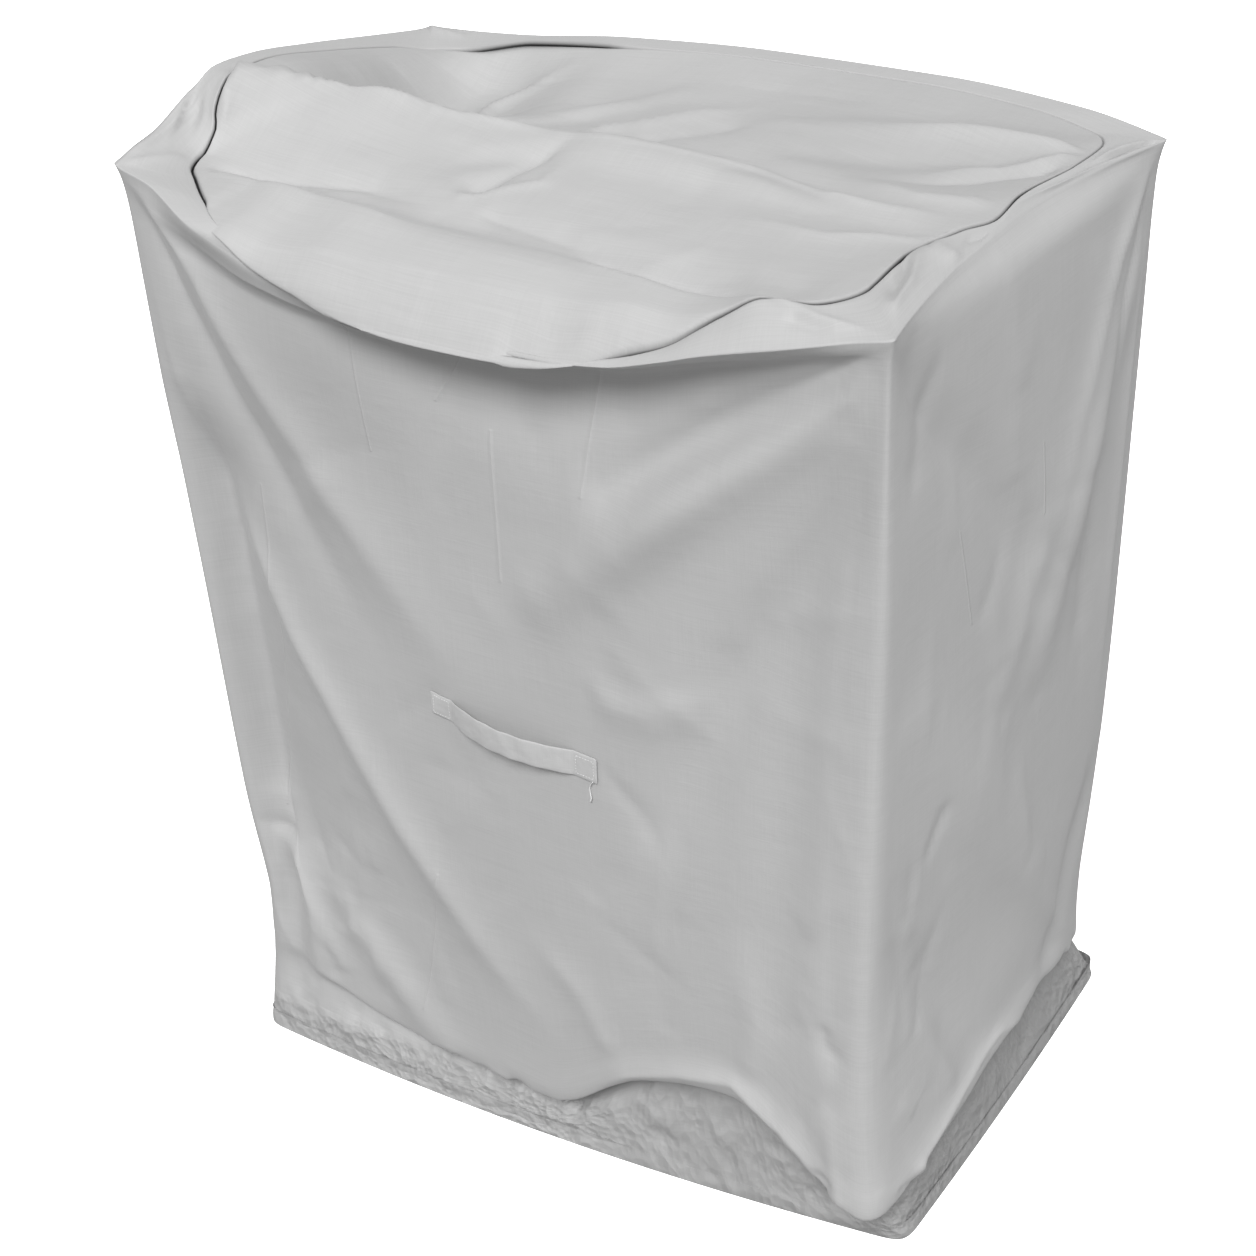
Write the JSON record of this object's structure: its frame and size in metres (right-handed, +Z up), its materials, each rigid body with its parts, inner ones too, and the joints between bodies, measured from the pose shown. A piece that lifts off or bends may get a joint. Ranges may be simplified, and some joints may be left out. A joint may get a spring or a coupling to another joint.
{
  "type": "wood chipper cover",
  "caption": "Fitted cloth cover for a floor-standing wood chipper, hollow and open below, with a rounded top panel and a front pull strap.",
  "frame": {"origin": "on the floor, under the middle of the cover's overall box", "axes": "+Z up; -Y is the front with the pull strap; +X is to the right seen from the front"},
  "size_m": [0.9529, 0.656, 1.1671],
  "materials": {
    "coated_polyester": "fine plain weave, coated, dull silver grey with a slight sheen"
  },
  "bodies": {
    "root": {"side_sleeve": "coated_polyester", "top_panel": "coated_polyester", "pull_strap": "coated_polyester"}
  },
  "joints": []
}
